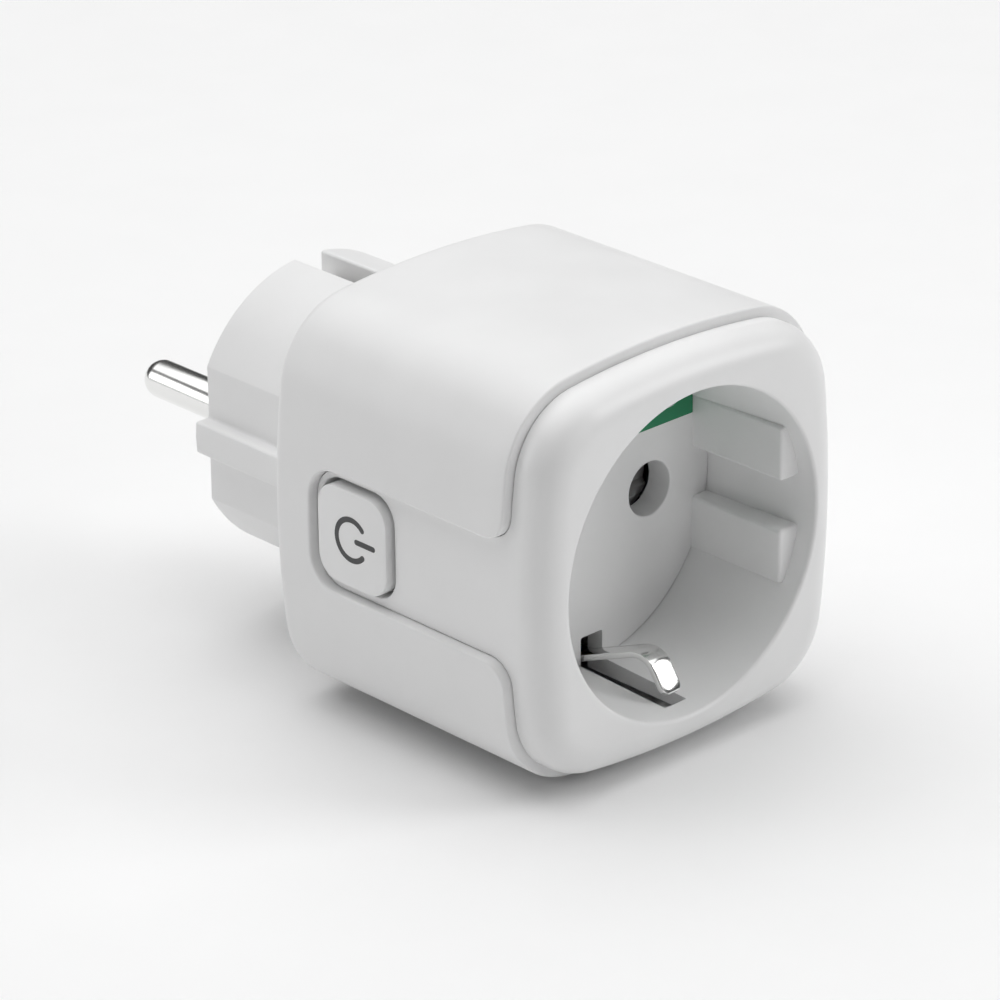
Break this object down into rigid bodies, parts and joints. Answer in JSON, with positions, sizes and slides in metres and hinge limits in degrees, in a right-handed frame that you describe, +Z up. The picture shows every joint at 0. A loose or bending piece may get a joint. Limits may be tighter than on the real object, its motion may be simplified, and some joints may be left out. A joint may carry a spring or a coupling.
{
  "type": "smart plug",
  "caption": "Rounded square plug-in adapter with a round recessed earthed socket in front, a two-pin earthed plug behind, and a push button in a side channel.",
  "frame": {"origin": "on the plug's axis, on the casing's back face that meets the wall plate", "axes": "+Y out of the back along the plug's pins, +Z up, -X the side with the button"},
  "size_m": [0.0506, 0.0844, 0.0506],
  "materials": {
    "shell_white": "fine satin moulded",
    "cover_white": "satin moulded",
    "label_green": "printed",
    "shutter_grey": "satin moulded",
    "inner_black": "matte moulded",
    "contact_brass": "rolled",
    "clip_nickel": "polished nickel plate",
    "earth_dark": "rolled",
    "pin_nickel": "polished nickel plate",
    "zinc_steel": "zinc plated",
    "spring_steel": "rolled",
    "mark_grey": "printed",
    "led_clear": "clear",
    "board_green": "solder mask",
    "relay_blue": "moulded",
    "coil_copper": "enamelled wire",
    "can_black": "sleeved can",
    "film_yellow": "moulded",
    "varistor_blue": "dipped",
    "resistor_tan": "lacquered",
    "ferrite": "ferrite",
    "chip_black": "moulded"
  },
  "bodies": {
    "housing": {"outer_sleeve": "shell_white", "front_cover": "cover_white", "plug_body": "shell_white", "case_screws": "zinc_steel", "socket_floor": "cover_white", "floor_label": "label_green", "shutter_spring": "spring_steel", "contact_block": "inner_black", "line_contact": "contact_brass", "neutral_contact": "contact_brass", "earth_clip_top": "clip_nickel", "earth_clip_bottom": "clip_nickel", "earth_yoke": "clip_nickel", "plug_earth_top": "earth_dark", "plug_earth_bottom": "earth_dark", "line_pin": "pin_nickel", "neutral_pin": "pin_nickel", "line_busbar": "contact_brass", "neutral_busbar": "contact_brass", "tact_switch": "inner_black", "status_led": "led_clear", "main_board": "board_green", "control_board": "board_green", "board_header": "inner_black", "radio_shield": "zinc_steel", "relay_base": "inner_black", "relay_case": "relay_blue", "relay_coil": "coil_copper", "relay_core": "spring_steel", "relay_yoke": "spring_steel", "relay_fixed_contact": "contact_brass", "input_capacitor": "can_black", "output_capacitor": "can_black", "film_capacitor": "film_yellow", "varistor": "varistor_blue", "fuse_resistor": "resistor_tan", "inductor": "ferrite", "bridge_rectifier": "chip_black", "supply_chip": "chip_black", "metering_chip": "chip_black", "current_shunt": "zinc_steel"},
    "button": {"button_cap": "cover_white", "button_mark": "mark_grey"},
    "plunger": {"tact_plunger": "inner_black"},
    "shutter": {"shutter": "shutter_grey"},
    "armature": {"relay_armature": "spring_steel", "relay_moving_contact": "contact_brass"}
  },
  "joints": [
    {"name": "button_press", "type": "slide", "parent": "housing", "child": "button", "axis": [1, 0, 0], "range_m": [0, 0.0005], "stiffness_N_per_m": 2500, "springref_m": -0.0003},
    {"name": "plunger_press", "type": "slide", "parent": "housing", "child": "plunger", "axis": [1, 0, 0], "range_m": [0, 0.0005]},
    {"name": "shutter_turn", "type": "hinge", "parent": "housing", "child": "shutter", "pos_m": [0, -0.0218, 0], "axis": [0, -1, 0], "range_deg": [0, 46], "stiffness_Nm_per_rad": 0.01, "springref_deg": -11.46},
    {"name": "armature_pull", "type": "hinge", "parent": "housing", "child": "armature", "pos_m": [0, 0.0076, 0.0083], "axis": [-1, 0, 0], "range_deg": [0, 4], "stiffness_Nm_per_rad": 0.05, "springref_deg": -2.86}
  ],
  "couplings": [
    {"joint": "plunger_press", "follows": "button_press", "ratio": 1}
  ]
}
